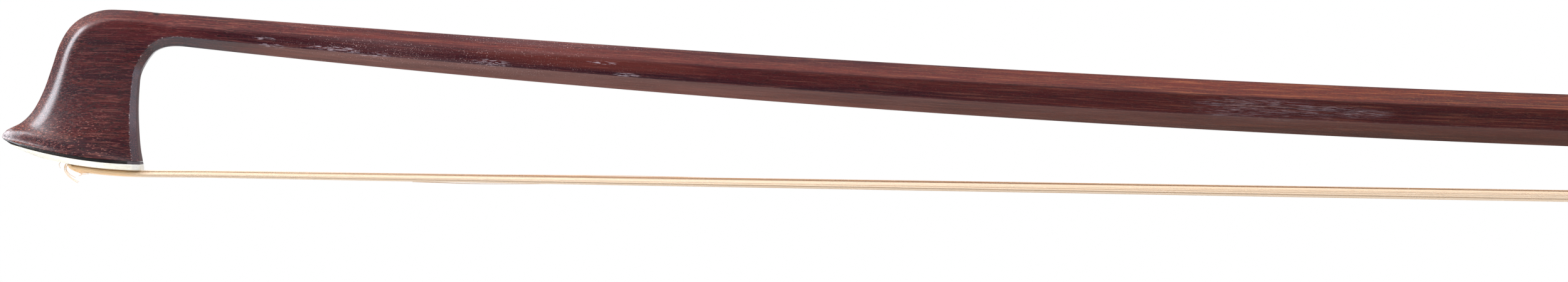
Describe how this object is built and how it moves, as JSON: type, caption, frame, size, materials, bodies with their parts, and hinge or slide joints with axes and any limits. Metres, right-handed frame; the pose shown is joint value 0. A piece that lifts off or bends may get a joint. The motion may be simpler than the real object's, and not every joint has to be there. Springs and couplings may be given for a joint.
{
  "type": "violin bow",
  "caption": "Violin bow at playing tension: cambered octagonal stick with carved head, hair ribbon, sliding frog, screw and button.",
  "frame": {"origin": "centre of the button's end, on the screw's axis", "axes": "+X along the hair from the head to the button, +Y across, +Z from the hair up to the stick"},
  "size_m": [0.744, 0.0132, 0.0313],
  "materials": {
    "pernambuco": "oiled and polished, worn",
    "ebony": "polished",
    "bone": "satin",
    "maple": "raw",
    "horsehair": "rosined",
    "leather": "worn",
    "baleen": "satin",
    "silver": "polished",
    "brass": "turned",
    "steel": "turned",
    "nacre": "polished"
  },
  "bodies": {
    "stick_side": {"stick": "pernambuco", "tip_liner": "ebony", "tip_plate": "bone", "tip_plug": "maple", "hair_tip_knot": "horsehair", "hair_ribbon": "horsehair", "thumb_leather": "leather", "stick_lapping": "baleen"},
    "frog_side": {"frog_body": "ebony", "underslide": "silver", "underslide_screw_rear": "steel", "underslide_screw_front": "steel", "eyelet": "brass", "ferrule": "silver", "spread_wedge": "maple", "frog_plug": "maple", "hair_frog_knot": "horsehair", "slide_backing": "ebony", "pearl_slide": "nacre", "heel_plate_back": "silver", "heel_plate_bottom": "silver", "heel_pin_upper": "silver", "heel_pin_lower": "silver", "heel_pin_bottom": "silver", "eye_pearl_near": "nacre", "eye_pearl_far": "nacre", "eye_ring_near": "silver", "eye_ring_far": "silver"},
    "screw_side": {"adjusting_screw": "steel", "button_core": "ebony", "button_front_ring": "silver", "button_rear_ring": "silver", "button_pearl": "nacre"}
  },
  "joints": [
    {"name": "screw_turn", "type": "hinge", "parent": "stick_side", "child": "screw_side", "pos_m": [0, 0, 0], "axis": [-0.9988, 0, -0.0481], "range_deg": [-1800, 1080]},
    {"name": "frog_slide", "type": "slide", "parent": "stick_side", "child": "frog_side", "axis": [0.9988, 0, 0.0481], "range_m": [-0.0035, 0.0021], "deforming": ["hair_ribbon"]}
  ],
  "couplings": [
    {"joint": "screw_turn", "follows": "frog_slide", "rad_per_m": 8975.9}
  ]
}
